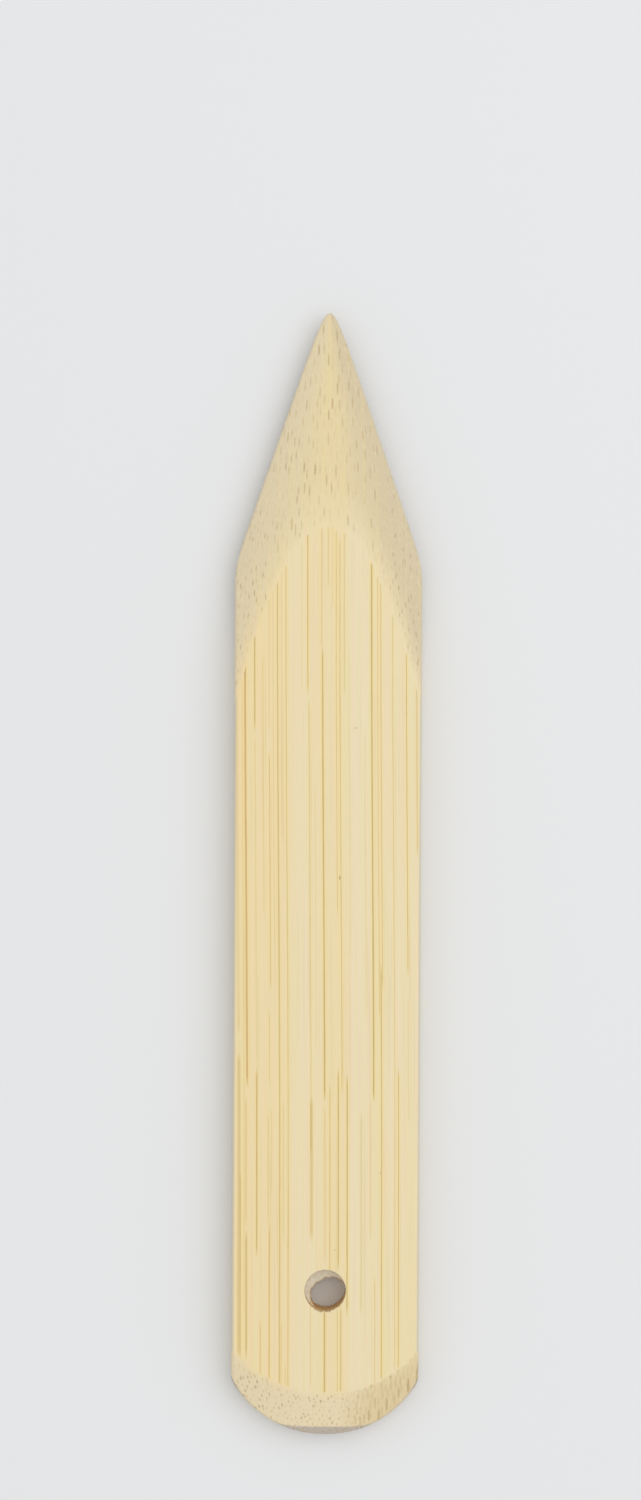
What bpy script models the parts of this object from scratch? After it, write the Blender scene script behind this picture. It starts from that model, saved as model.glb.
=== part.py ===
"""A bamboo point turner: one flat blade of culm wall with a blunt ground point and a rounded pressing heel.

The blade lies flat. X runs across it, Y along it towards the point and Z up through its thickness, and the
origin is under its middle, on the surface it lies on. Both faces are alike, so each section of the blade is
worked out once, for the quarter at +X and +Z, and mirrored across both middle planes.
"""

import math

import bmesh
import bpy

MM = 0.001

# The strip, planed flat on both faces, with its long edges eased
LENGTH = 152.4 * MM
WIDTH = 25.4 * MM
THICKNESS = 4.8 * MM
EDGE_EASE = 0.5 * MM
EASE_WALL_SHARE = 0.55

# The point from above: a small flat, a blunt nose and flanks that run nearly straight to the shoulders
TIP_FLAT = 0.5 * MM
TIP_RADIUS = 0.38 * MM
FLANK_ANGLE = math.radians(18.7)
SHOULDER_ROUNDING = 0.86 * MM

# The point's two ground faces: crowned across, and running out of the flat faces along an arch. At the tip
# itself they are rounded over, so that it doesn't pierce the cloth
TIP_THICKNESS = 1.0 * MM
TIP_NOSE_DEPTH = 0.6 * MM
TIP_NOSE_THICKNESS = 0.4 * MM
LEAST_EDGE_THICKNESS = 0.9 * MM
ARCH_START = 28.4 * MM
ARCH_END = 53.0 * MM
CROWN_REACH = 11.4 * MM

# The heel from above: one arc across the end, with softened corners where it meets the long edges
HEEL_RISE = 7.5 * MM
HEEL_FLAT = 2.0 * MM
HEEL_CORNER_ROUNDING = 0.3 * MM

# The heel's two bevels, each a shallow cone, and the rounding that blunts its pressing edge
HEEL_BEVEL_DEPTH = 5.8 * MM
HEEL_BEVEL_SIDE_DEPTH = 11.8 * MM
HEEL_THICKNESS = 2.1 * MM
HEEL_NOSE_DEPTH = 1.16 * MM
HEEL_NOSE_THICKNESS = 0.9 * MM

# How full both noses are: 1 would be a plain chamfer, and less is rounder
NOSE_CURVE = 0.7

# The hang hole, measured from the heel's end to its centre
HOLE_DIAMETER = 5.7 * MM
HOLE_SETBACK = 19.8 * MM
HOLE_EASE = 0.15 * MM
HOLE_OVERRUN = 1.0 * MM
HOLE_SEGMENTS = 48

# How finely the blade is divided
POINT_STATIONS = 16
SHOULDER_STATIONS = 5
ARCH_STATIONS = 12
BODY_STATIONS = 6
NOSE_STATIONS = 5
HEEL_STATIONS = 7
CORNER_STATIONS = 4
LEAST_STATION_STEP = 0.02 * MM
END_CROWDING = 1.8
LEVEL_STEPS = 3
BEVEL_STEPS = 5
EASE_STEPS = 3
LEAST_LEVEL_SHARE = 0.25
MOST_LEVEL_SHARE = 0.97

# Pale sanded bamboo with no varnish
BAMBOO_COLOUR = (0.80, 0.66, 0.42, 1.0)
BAMBOO_ROUGHNESS = 0.6
SMOOTH_ANGLE = math.radians(12)
LEVEL_NORMAL = 0.9999

# Worked out from the sizes above
HALF_LENGTH = LENGTH / 2
HALF_WIDTH = WIDTH / 2
HALF_THICKNESS = THICKNESS / 2
SHOULDER_DEPTH = (
    math.sqrt(TIP_RADIUS**2 + (math.tan(FLANK_ANGLE) * HALF_WIDTH) ** 2) - TIP_RADIUS
) / math.tan(FLANK_ANGLE) ** 2
CROWN_SQUASH = HALF_THICKNESS / CROWN_REACH


def arc_radius(half_chord, rise):
    """The radius of an arc that rises this far over this half chord."""
    return (half_chord**2 + rise**2) / (2 * rise)


HEEL_RADIUS = arc_radius(HALF_WIDTH, HEEL_RISE)
HEEL_BEVEL_RADIUS = arc_radius(HALF_WIDTH, HEEL_BEVEL_SIDE_DEPTH - HEEL_BEVEL_DEPTH)
HEEL_BEVEL_CENTRE = HEEL_BEVEL_DEPTH + HEEL_BEVEL_RADIUS
HEEL_BEVEL_SLOPE = (HALF_THICKNESS - HEEL_THICKNESS / 2) / HEEL_BEVEL_DEPTH
HEEL_NOSE_TOP = HALF_THICKNESS - HEEL_BEVEL_SLOPE * (HEEL_BEVEL_DEPTH - HEEL_NOSE_DEPTH)


def rounded_least(first, second, rounding):
    """The lesser of two lengths, eased into a curve where they are within rounding of each other."""
    overlap = max(rounding - abs(first - second), 0)
    return min(first, second) - overlap**2 / (4 * rounding)


def point_half_width(from_tip):
    """Half the width between the point's flanks: a hyperbola that starts at the small flat of the tip."""
    flare = math.tan(FLANK_ANGLE) * from_tip
    return math.sqrt((TIP_FLAT / 2) ** 2 + 2 * TIP_RADIUS * from_tip + flare**2)


def heel_half_width(from_heel):
    """Half the width under the heel's arc. Past the arc's centre it only has to exceed the blade's."""
    if from_heel > HEEL_RADIUS:
        return from_heel
    rise = HEEL_RADIUS - from_heel
    return math.sqrt((HEEL_FLAT / 2) ** 2 + HEEL_RADIUS**2 - rise**2)


def half_width(along):
    point_end = rounded_least(point_half_width(HALF_LENGTH - along), HALF_WIDTH, SHOULDER_ROUNDING)
    return rounded_least(point_end, heel_half_width(HALF_LENGTH + along), HEEL_CORNER_ROUNDING)


def nose_height(from_end, depth, end_thickness, top):
    """The height of a blunted end, which reaches top at this depth and keeps rising behind it."""
    return end_thickness / 2 + (top - end_thickness / 2) * (from_end / depth) ** NOSE_CURVE


def crown_height(from_tip):
    """The height of the point's crown on the centre line. Past the arch's start it would stand above the flat
    face, by what makes the face's half width grow with the square root of the distance."""
    if from_tip < ARCH_START:
        return (TIP_THICKNESS + (THICKNESS - TIP_THICKNESS) * from_tip / ARCH_START) / 2
    face_half_width_squared = HALF_WIDTH**2 * (from_tip - ARCH_START) / (ARCH_END - ARCH_START)
    return math.sqrt(HALF_THICKNESS**2 + CROWN_SQUASH**2 * face_half_width_squared)


def edge_height(from_tip, width):
    """The height of the crown where it reaches a flank that stands this far out."""
    crown = crown_height(from_tip)
    fallen = math.sqrt(max(crown**2 - (CROWN_SQUASH * width) ** 2, 0))
    return min(crown, max(fallen, LEAST_EDGE_THICKNESS / 2))


def point_level(from_tip):
    """The height that a section's level middle part has: the flat face's, or the nose's at the tip."""
    top = crown_height(TIP_NOSE_DEPTH)
    return min(HALF_THICKNESS, nose_height(from_tip, TIP_NOSE_DEPTH, TIP_NOSE_THICKNESS, top))


def point_height(across, from_tip, width):
    """The height at a place across the point: level, then part of an ellipse that falls to the flank."""
    crown = crown_height(from_tip)
    edge = edge_height(from_tip, width)
    fallen = math.sqrt(crown**2 - (crown**2 - edge**2) * (across / width) ** 2)
    return min(fallen, point_level(from_tip))


def point_level_half_width(from_tip, width):
    """How far across the level part reaches before the crown falls away from it."""
    crown = crown_height(from_tip)
    edge = edge_height(from_tip, width)
    level = point_level(from_tip)
    if crown <= level:
        return 0
    if edge >= level:
        return width
    return width * math.sqrt((crown**2 - level**2) / (crown**2 - edge**2))


def heel_level(from_heel):
    """The height that a section's level middle part has: the flat face's, or the nose's at the heel's end."""
    return min(HALF_THICKNESS, nose_height(from_heel, HEEL_NOSE_DEPTH, HEEL_NOSE_THICKNESS, HEEL_NOSE_TOP))


def heel_height(across, from_heel):
    """The height at a place across the heel: level, then the cone of the bevel."""
    from_centre = math.hypot(across, max(HEEL_BEVEL_CENTRE - from_heel, 0))
    cone = HALF_THICKNESS - HEEL_BEVEL_SLOPE * (from_centre - HEEL_BEVEL_RADIUS)
    return min(cone, heel_level(from_heel))


def heel_level_half_width(from_heel, width):
    """How far across the level part reaches before the cone."""
    level = heel_level(from_heel)
    radius = HEEL_BEVEL_RADIUS + (HALF_THICKNESS - level) / HEEL_BEVEL_SLOPE
    reach = HEEL_BEVEL_CENTRE - from_heel
    if reach <= 0:
        return width
    return math.sqrt(max(radius**2 - reach**2, 0))


def half_height(across, along, width):
    """The blade's upper surface above its middle plane."""
    return min(point_height(across, HALF_LENGTH - along, width), heel_height(across, HALF_LENGTH + along))


def quarter_section(along):
    """The section's quarter at +X and +Z, as (across, up) pairs from the centre line out to the side wall."""
    width = half_width(along)
    ease = min(EDGE_EASE, EASE_WALL_SHARE * half_height(width, along, width))
    ease = min(ease, EASE_WALL_SHARE * width)
    inner = width - ease
    level = min(
        point_level_half_width(HALF_LENGTH - along, width),
        heel_level_half_width(HALF_LENGTH + along, width),
    )
    level = min(max(level, LEAST_LEVEL_SHARE * inner), MOST_LEVEL_SHARE * inner)
    columns = [level * step / LEVEL_STEPS for step in range(LEVEL_STEPS)]
    columns += [level + (inner - level) * step / BEVEL_STEPS for step in range(BEVEL_STEPS + 1)]
    section = [(across, half_height(across, along, width)) for across in columns]
    top = section[-1][1]
    for step in range(1, EASE_STEPS + 1):
        turn = math.radians(90) * step / EASE_STEPS
        section.append((inner + ease * math.sin(turn), top - ease * (1 - math.cos(turn))))
    return section


def whole_section(along):
    """The section's closed ring, clockwise from the top of the centre line."""
    quarter = quarter_section(along)
    ring = quarter + [(x, -z) for x, z in reversed(quarter)]
    ring += [(-x, -z) for x, z in quarter[1:]]
    ring += [(-x, z) for x, z in reversed(quarter[1:])]
    return [(x, along, z) for x, z in ring]


def spread(start, end, steps, crowding=1):
    """Places from start to end, closer together at start where crowding is over 1."""
    return [start + (end - start) * (step / steps) ** crowding for step in range(steps + 1)]


def stations():
    """Where the sections stand along Y: close together where the outline or a bevel turns."""
    from_tip = spread(0, TIP_NOSE_DEPTH, NOSE_STATIONS, END_CROWDING)
    from_tip += spread(TIP_NOSE_DEPTH, ARCH_START, POINT_STATIONS, END_CROWDING)
    shoulder_run = SHOULDER_ROUNDING / math.tan(FLANK_ANGLE)
    from_tip += spread(SHOULDER_DEPTH - shoulder_run, SHOULDER_DEPTH + shoulder_run, SHOULDER_STATIONS)
    from_tip += spread(ARCH_START, ARCH_END, ARCH_STATIONS)
    from_tip += spread(ARCH_END, LENGTH - HEEL_BEVEL_SIDE_DEPTH, BODY_STATIONS)
    from_heel = spread(0, HEEL_NOSE_DEPTH, NOSE_STATIONS, END_CROWDING)
    from_heel += spread(HEEL_NOSE_DEPTH, HEEL_BEVEL_DEPTH, HEEL_STATIONS)
    from_heel += spread(HEEL_BEVEL_DEPTH, HEEL_BEVEL_SIDE_DEPTH, HEEL_STATIONS)
    corner_run = HEEL_CORNER_ROUNDING * HALF_WIDTH / (HEEL_RADIUS - HEEL_RISE)
    from_heel += spread(HEEL_RISE - corner_run, HEEL_RISE + corner_run, CORNER_STATIONS)
    found = [HALF_LENGTH - depth for depth in from_tip] + [depth - HALF_LENGTH for depth in from_heel]
    kept = []
    for along in sorted(found):
        if not kept or along - kept[-1] > LEAST_STATION_STEP:
            kept.append(along)
    return kept


def bamboo():
    material = bpy.data.materials.new("bamboo")
    material.use_nodes = True
    shader = material.node_tree.nodes["Principled BSDF"]
    shader.inputs["Base Color"].default_value = BAMBOO_COLOUR
    shader.inputs["Roughness"].default_value = BAMBOO_ROUGHNESS
    shader.inputs["Metallic"].default_value = 0
    material.diffuse_color = BAMBOO_COLOUR
    return material


def add_object(name, shape, location):
    """Makes an object of a bmesh and puts it in the scene. Its level faces stay flat shaded, so that the
    arch and the other borders of the flat faces show."""
    bmesh.ops.recalc_face_normals(shape, faces=shape.faces)
    mesh = bpy.data.meshes.new(name)
    shape.to_mesh(mesh)
    shape.free()
    mesh.shade_smooth()
    mesh.set_sharp_from_angle(angle=SMOOTH_ANGLE)
    for face in mesh.polygons:
        face.use_smooth = abs(face.normal.z) < LEVEL_NORMAL
    made = bpy.data.objects.new(name, mesh)
    made.location = location
    bpy.context.collection.objects.link(made)
    return made


def make_blade():
    """The blade, lofted through its sections and closed by the small flats of the tip and the heel."""
    shape = bmesh.new()
    rings = [[shape.verts.new(point) for point in whole_section(along)] for along in stations()]
    for near, far in zip(rings, rings[1:]):
        for side in range(len(near)):
            after = (side + 1) % len(near)
            shape.faces.new((near[side], near[after], far[after], far[side]))
    shape.faces.new(rings[0])
    shape.faces.new(reversed(rings[-1]))
    blade = add_object("bamboo_blade", shape, (0, 0, HALF_THICKNESS))
    blade.data.materials.append(bamboo())
    return blade


def cut_hang_hole(blade):
    """Bores the hang hole through the blade, with both rims eased by a small countersink."""
    radius = HOLE_DIAMETER / 2
    mouth = radius + HOLE_EASE + HOLE_OVERRUN
    top = HALF_THICKNESS + HOLE_OVERRUN
    wall = HALF_THICKNESS - HOLE_EASE
    profile = [(0, -top), (mouth, -top), (radius, -wall), (radius, wall), (mouth, top), (0, top)]
    shape = bmesh.new()
    corners = [shape.verts.new((across, 0, up)) for across, up in profile]
    edges = [shape.edges.new(pair) for pair in zip(corners, corners[1:])]
    bmesh.ops.spin(
        shape,
        geom=corners + edges,
        cent=(0, 0, 0),
        axis=(0, 0, 1),
        angle=math.radians(360),
        steps=HOLE_SEGMENTS,
        use_merge=True,
    )
    bmesh.ops.remove_doubles(shape, verts=shape.verts, dist=LEAST_STATION_STEP)
    cutter = add_object("hang_hole_cutter", shape, (0, HOLE_SETBACK - HALF_LENGTH, HALF_THICKNESS))
    cutter.display_type = "WIRE"
    cutter.hide_render = True
    bore = blade.modifiers.new("hang_hole", "BOOLEAN")
    bore.operation = "DIFFERENCE"
    bore.object = cutter


def main():
    for old in list(bpy.data.objects):
        bpy.data.objects.remove(old)
    cut_hang_hole(make_blade())


main()
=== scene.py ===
"""The looks of a bamboo point turner: its sanded blade with the grain and the ground bevels in fine detail.

The blade lies flat on a pale floor, with X across it, Y along it towards the point and Z up. The frame gives
its box, and the bevels follow the same rules as the solid's.
"""

import math
from collections import namedtuple

import bpy
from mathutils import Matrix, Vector, noise


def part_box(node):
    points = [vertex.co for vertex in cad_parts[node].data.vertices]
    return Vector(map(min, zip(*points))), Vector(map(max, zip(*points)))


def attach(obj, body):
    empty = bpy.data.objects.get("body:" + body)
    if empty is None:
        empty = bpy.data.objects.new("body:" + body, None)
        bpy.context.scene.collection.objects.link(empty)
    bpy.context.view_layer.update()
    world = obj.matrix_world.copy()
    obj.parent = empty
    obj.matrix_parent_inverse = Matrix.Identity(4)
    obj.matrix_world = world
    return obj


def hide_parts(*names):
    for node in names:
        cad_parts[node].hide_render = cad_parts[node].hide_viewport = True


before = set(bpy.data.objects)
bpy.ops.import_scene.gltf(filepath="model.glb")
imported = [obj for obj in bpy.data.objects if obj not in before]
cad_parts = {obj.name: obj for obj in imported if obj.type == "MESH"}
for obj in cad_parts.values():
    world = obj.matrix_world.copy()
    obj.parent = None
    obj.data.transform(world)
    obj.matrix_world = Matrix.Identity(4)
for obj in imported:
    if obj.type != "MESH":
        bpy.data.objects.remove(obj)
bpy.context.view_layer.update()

MM = 0.001

# The blade, as the frame has it
LOW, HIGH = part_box("bamboo_blade")
LENGTH = HIGH.y - LOW.y
HALF_LENGTH = LENGTH / 2
HALF_WIDTH = (HIGH.x - LOW.x) / 2
THICKNESS = HIGH.z - LOW.z
HALF_THICKNESS = THICKNESS / 2
EDGE_EASE = 0.5 * MM
EASE_WALL_SHARE = 0.55

# The point from above
TIP_FLAT = 0.5 * MM
TIP_RADIUS = 0.38 * MM
FLANK_ANGLE = math.radians(18.7)
SHOULDER_ROUNDING = 0.86 * MM

# The point's ground faces
TIP_THICKNESS = 1.0 * MM
TIP_NOSE_DEPTH = 0.6 * MM
TIP_NOSE_THICKNESS = 0.4 * MM
LEAST_EDGE_THICKNESS = 0.9 * MM
ARCH_START = 28.4 * MM
ARCH_END = 53.0 * MM
CROWN_REACH = 11.4 * MM
CROWN_SQUASH = HALF_THICKNESS / CROWN_REACH
ARCH_SOFTENING = 0.05 * MM

# The heel from above, and its bevels
HEEL_RISE = 7.5 * MM
HEEL_FLAT = 2.0 * MM
HEEL_CORNER_ROUNDING = 0.3 * MM
HEEL_BEVEL_DEPTH = 5.8 * MM
HEEL_BEVEL_SIDE_DEPTH = 11.8 * MM
HEEL_THICKNESS = 2.1 * MM
HEEL_BEVEL_SOFTENING = 0.13 * MM
HEEL_NOSE_DEPTH = 1.16 * MM
HEEL_NOSE_THICKNESS = 0.9 * MM
NOSE_CURVE = 0.7

# The hang hole. Where the drillings from both faces met they left a web of fibres, widest at the upper left
HOLE_RADIUS = 2.80 * MM
HOLE_PLACE = 19.8 * MM - HALF_LENGTH
HOLE_EASE = 0.06 * MM
HOLE_FRAY = 0.24 * MM
HOLE_ROUGHNESS = 0.03 * MM
HOLE_SURROUND = 4.4 * MM
WEB_TURN = math.radians(120)
WEB_SIDE_WIDTH = 0.50 * MM
WEB_SWELL = 1.05 * MM
WEB_TEAR = 0.16 * MM
WEB_DEPTH = 1.6 * MM
WEB_DROP = 0.35 * MM

# The noise of the hole's rims, wall and web: its clouds to the hole's radius, where it begins, and how it
# tears the rims
RIM_CLOUDS = 7
WALL_CLOUDS = 12
WALL_CLOUDS_DOWN = 14
WALL_CLOUDS_START = 5
WEB_CLOUDS = 2.5
WEB_CLOUDS_START = 9
RIM_CROWDING = 6
LEAST_FRAY_SHARE = 0.35
FRAY_SPREAD_SHARE = 1.6

# How finely the blade is divided
NOSE_STATIONS = 12
POINT_STATIONS = 76
ARCH_STATIONS = 56
BODY_STATIONS = 44
HOLE_STATIONS = 30
HEEL_STATIONS = 22
CORNER_STATIONS = 8
END_CROWDING = 1.8
LEAST_STATION_STEP = 0.02 * MM
LEVEL_STEPS = 44
BEVEL_STEPS = 22
EASE_STEPS = 4
WALL_STEPS = 8
LEAST_LEVEL_SHARE = 0.15
MOST_LEVEL_SHARE = 0.97
EVEN_LEVEL_SHARE = LEVEL_STEPS / (LEVEL_STEPS + BEVEL_STEPS)
EVENING_RUN = 3.0 * MM
HOLE_RINGS = 7
HOLE_RIM_STEPS = 3
HOLE_RECESS_STEPS = 4
HOLE_WEB_STEPS = 6
HOLE_WALL_STEPS = 5
RING_CROWDING = 1.3
QUARTER_TURN = math.radians(90)

# The grain leans a little against the blade and wanders on its way. These are in millimetres
GRAIN_SLANT = 0.0075
GRAIN_WANDER = 0.07
GRAIN_WANDER_RUN = 17.0
BACK_GRAIN_SHIFT = 1.7

# The strong fibre lines of a flat face, in millimetres: how far right of the middle each lies, where it ends
# along the blade, how dark it is, half its width, and how far it is ruddy and not olive
FibreLine = namedtuple("FibreLine", "place top bottom darkness half_width ruddiness")
LINE_ROWS = (
    (-12.15, 27, -22, 0.26, 0.2, 0.5), (-12.1, -24, -66, 0.5, 0.22, 0.5),
    (-11.9, -40, -66, 0.45, 0.08, 0.4), (-11.0, 33, -29, 0.95, 0.13, 0.7),
    (-11.15, -30, -48, 0.4, 0.12, 0.9), (-11.1, -48, -66, 0.8, 0.13, 0.3),
    (-11.4, 30, -60, 0.3, 0.07, 0.6), (-9.7, 36, 19, 0.85, 0.1, 0.3),
    (-9.7, 19, -26, 0.3, 0.1, 0.6), (-9.7, -26, -52, 0.9, 0.11, 0.5),
    (-9.2, -60, -70, 0.5, 0.1, 0.4), (-8.6, 30, -6, 0.25, 0.09, 0.7),
    (-7.75, 40, 19, 0.28, 0.08, 0.6), (-7.75, 17, -16, 0.65, 0.07, 0.9),
    (-7.95, -18, -29, 0.45, 0.07, 0.9), (-8.15, -32, -48, 0.3, 0.12, 0.5),
    (-8.0, -47, -72, 0.75, 0.08, 0.9), (-7.7, -31, -44, 0.28, 0.08, 0.3),
    (-7.2, 40, -10, 0.3, 0.06, 0.5), (-6.6, 41, -72, 0.7, 0.1, 0.4),
    (-6.05, 44, 4, 0.3, 0.07, 0.7), (-6.08, -30, -50, 0.3, 0.09, 0.4),
    (-6.35, -60, -73, 0.4, 0.05, 0.3), (-5.45, 43, -76, 0.6, 0.07, 0.3),
    (-5.8, -66, -76, 0.5, 0.05, 0.5), (-3.3, 46, 24, 0.22, 0.06, 0.3),
    (-2.5, 48, 24, 0.8, 0.08, 0.5), (-2.35, 24, -38, 0.5, 0.07, 0.2),
    (-2.3, -30, -50, 0.6, 0.2, 0.45), (-1.6, 12, -24, 0.25, 0.06, 0.5),
    (-2.4, -56, -70, 0.35, 0.07, 0.3), (-0.6, 50, 30, 0.4, 0.11, 0.6),
    (0.3, 49, 38, 0.35, 0.1, 0.5), (-0.5, 31, -31, 0.95, 0.1, 0.25),
    (-0.5, -31, -53, 0.3, 0.11, 1.0), (-0.5, -58, -76, 0.9, 0.12, 0.4),
    (0.2, -28, -56, 0.6, 0.07, 0.2), (0.9, 52, 36, 0.35, 0.06, 0.4),
    (1.35, 50, -6, 0.65, 0.05, 0.5), (1.35, -26, -54, 0.85, 0.09, 0.2),
    (1.25, -58, -76, 0.5, 0.07, 0.4), (1.85, 46, -30, 0.7, 0.06, 0.3),
    (2.45, 48, 24, 0.42, 0.09, 0.1), (1.7, -58, -76, 0.7, 0.09, 0.3),
    (2.55, -27, -60, 0.9, 0.08, 0.1), (3.1, 30, -12, 0.18, 0.07, 0.8),
    (4.45, -32, -60, 0.3, 0.14, 0.1), (5.2, 20, -20, 0.18, 0.08, 0.6),
    (5.7, -30, -50, 0.25, 0.1, 0.7), (6.15, 48, -31, 0.95, 0.1, 0.1),
    (6.3, -54, -74, 0.4, 0.08, 0.2), (6.95, 42, -20, 0.5, 0.05, 0.5),
    (7.4, 42, -16, 0.65, 0.06, 0.1), (7.2, -12, -74, 0.8, 0.08, 0.1),
    (9.0, 36, -68, 0.45, 0.07, 0.3), (9.5, -26, -68, 0.75, 0.07, 0.6),
    (10.85, 31, -14, 0.8, 0.06, 0.35), (10.85, -16, -34, 0.25, 0.07, 0.8),
    (12.25, 27, 2, 0.55, 0.1, 0.2),
)
FIBRE_LINES = [FibreLine(*row) for row in LINE_ROWS]
LINE_FADE = 1.6
GROOVE_DEPTH = 0.022 * MM
GROOVE_HALF_WIDTH = 0.34
GROOVE_FADE = 0.8 * MM

# Small marks on the front, in millimetres: the middle of each across and along, half its size both ways and
# how dark it is
Mark = namedtuple("Mark", "across along half_across half_along darkness")
MARKS = (
    Mark(3.75, 19.8, 0.28, 0.08, 0.28),
    Mark(1.70, -0.5, 0.08, 0.24, 0.75),
    Mark(7.40, -40.5, 0.07, 0.16, 0.40),
    Mark(1.25, -50.9, 0.12, 0.12, 0.28),
)

# The baking map, on which both faces, both walls and the hole's wall lie side by side along the blade
MAP_NAME = "OFBake"
MAP_GAP_SHARE = 0.012
MAP_FACE_SHARE = 0.385
MAP_WALL_SHARE = 0.055
MAP_BORE_SHARE = 0.045
MAP_BORE_LENGTH_SHARE = 0.3
MAP_HEEL_CAP_SHARE = 0.40
MAP_TIP_CAP_SHARE = 0.45
MAP_CAP_SCALE_SHARE = 0.02


def arc_radius(half_chord, rise):
    """The radius of an arc that rises this far over this half chord."""
    return (half_chord**2 + rise**2) / (2 * rise)


HEEL_RADIUS = arc_radius(HALF_WIDTH, HEEL_RISE)
HEEL_BEVEL_RADIUS = arc_radius(HALF_WIDTH, HEEL_BEVEL_SIDE_DEPTH - HEEL_BEVEL_DEPTH)
HEEL_BEVEL_CENTRE = HEEL_BEVEL_DEPTH + HEEL_BEVEL_RADIUS
HEEL_BEVEL_SLOPE = (HALF_THICKNESS - HEEL_THICKNESS / 2) / HEEL_BEVEL_DEPTH
HEEL_NOSE_TOP = HALF_THICKNESS - HEEL_BEVEL_SLOPE * (HEEL_BEVEL_DEPTH - HEEL_NOSE_DEPTH)
SHOULDER_DEPTH = (
    math.sqrt(TIP_RADIUS**2 + (math.tan(FLANK_ANGLE) * HALF_WIDTH) ** 2) - TIP_RADIUS
) / math.tan(FLANK_ANGLE) ** 2


def share_of(value):
    """The value, kept between 0 and 1."""
    return min(max(value, 0), 1)


def smooth(value):
    """A smooth step from 0 to 1."""
    share = share_of(value)
    return share * share * (3 - 2 * share)


def rounded_least(first, second, rounding):
    """The lesser of two lengths, eased into a curve where they are within rounding of each other."""
    overlap = max(rounding - abs(first - second), 0)
    return min(first, second) - overlap**2 / (4 * rounding)


def point_half_width(from_tip):
    """Half the width of the point, whose flanks run from its small end flat as a hyperbola."""
    flare = math.tan(FLANK_ANGLE) * from_tip
    return math.sqrt((TIP_FLAT / 2) ** 2 + 2 * TIP_RADIUS * from_tip + flare**2)


def heel_half_width(from_heel):
    """Half the width of the heel's arc. Behind the arc's middle it only has to be wider than the blade."""
    if from_heel > HEEL_RADIUS:
        return from_heel
    rise = HEEL_RADIUS - from_heel
    return math.sqrt((HEEL_FLAT / 2) ** 2 + HEEL_RADIUS**2 - rise**2)


def half_width(along):
    """Half the blade's width, with the corners at the shoulders and the heel rounded."""
    point_end = rounded_least(point_half_width(HALF_LENGTH - along), HALF_WIDTH, SHOULDER_ROUNDING)
    return rounded_least(point_end, heel_half_width(HALF_LENGTH + along), HEEL_CORNER_ROUNDING)


def nose_height(from_end, depth, end_thickness, top):
    """The height of a blunted end, which reaches top at this depth and keeps rising behind it."""
    return end_thickness / 2 + (top - end_thickness / 2) * (from_end / depth) ** NOSE_CURVE


def crown_height(from_tip):
    """The height of the point's crown on the centre line."""
    if from_tip < ARCH_START:
        return (TIP_THICKNESS + (THICKNESS - TIP_THICKNESS) * from_tip / ARCH_START) / 2
    face_half_width_squared = HALF_WIDTH**2 * (from_tip - ARCH_START) / (ARCH_END - ARCH_START)
    return math.sqrt(HALF_THICKNESS**2 + CROWN_SQUASH**2 * face_half_width_squared)


def edge_height(from_tip, width):
    """The height of the crown where it reaches a flank that stands this far out."""
    crown = crown_height(from_tip)
    fallen = math.sqrt(max(crown**2 - (CROWN_SQUASH * width) ** 2, 0))
    return min(crown, max(fallen, LEAST_EDGE_THICKNESS / 2))


def point_level(from_tip):
    """The height of the flat face and, near the tip, of the blunted end."""
    top = crown_height(TIP_NOSE_DEPTH)
    return min(HALF_THICKNESS, nose_height(from_tip, TIP_NOSE_DEPTH, TIP_NOSE_THICKNESS, top))


def point_height(across, from_tip, width):
    """The height where the point's crown is, with a softened border between it and the flat face."""
    crown = crown_height(from_tip)
    edge = edge_height(from_tip, width)
    fallen = math.sqrt(crown**2 - (crown**2 - edge**2) * (across / width) ** 2)
    softened = rounded_least(fallen, HALF_THICKNESS, ARCH_SOFTENING)
    return min(softened, point_level(from_tip))


def point_level_half_width(from_tip, width):
    """How far across the level part reaches before the crown falls away from it."""
    crown = crown_height(from_tip)
    edge = edge_height(from_tip, width)
    level = point_level(from_tip)
    if crown <= level:
        return 0
    if edge >= level:
        return width
    return width * math.sqrt((crown**2 - level**2) / (crown**2 - edge**2))


def heel_level(from_heel):
    """The height of the flat face and, at the heel's end, of its nose."""
    return min(HALF_THICKNESS, nose_height(from_heel, HEEL_NOSE_DEPTH, HEEL_NOSE_THICKNESS, HEEL_NOSE_TOP))


def heel_height(across, from_heel):
    """The height where the heel's conical bevel is, with a softened border as well."""
    from_centre = math.hypot(across, max(HEEL_BEVEL_CENTRE - from_heel, 0))
    cone = HALF_THICKNESS - HEEL_BEVEL_SLOPE * (from_centre - HEEL_BEVEL_RADIUS)
    softened = rounded_least(cone, HALF_THICKNESS, HEEL_BEVEL_SOFTENING)
    return min(softened, heel_level(from_heel))


def heel_level_half_width(from_heel, width):
    """How far across the level part reaches before the cone of the bevel."""
    level = heel_level(from_heel)
    radius = HEEL_BEVEL_RADIUS + (HALF_THICKNESS - level) / HEEL_BEVEL_SLOPE
    reach = HEEL_BEVEL_CENTRE - from_heel
    if reach <= 0:
        return width
    return math.sqrt(max(radius**2 - reach**2, 0))


def half_height(across, along, width):
    """The blade's upper surface above its middle plane, before the grain's relief."""
    return min(point_height(across, HALF_LENGTH - along, width), heel_height(across, HALF_LENGTH + along))


def inside_face(across, along):
    """How far a place lies inside the arch and the heel's curve. Outside a flat face it is negative."""
    from_tip = HALF_LENGTH - along
    arch = ARCH_START + (ARCH_END - ARCH_START) * (across / HALF_WIDTH) ** 2
    from_centre = math.hypot(across, max(HEEL_BEVEL_CENTRE - HALF_LENGTH - along, 0))
    return min(from_tip - arch, HEEL_BEVEL_RADIUS - from_centre)


def grain_place(across, along, is_back):
    """Which fibre runs through a place: where it crosses the blade's middle, in millimetres."""
    x, y = across / MM, along / MM
    place = x + GRAIN_SLANT * y + GRAIN_WANDER * math.sin(y / GRAIN_WANDER_RUN)
    return BACK_GRAIN_SHIFT - place if is_back else place


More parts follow.
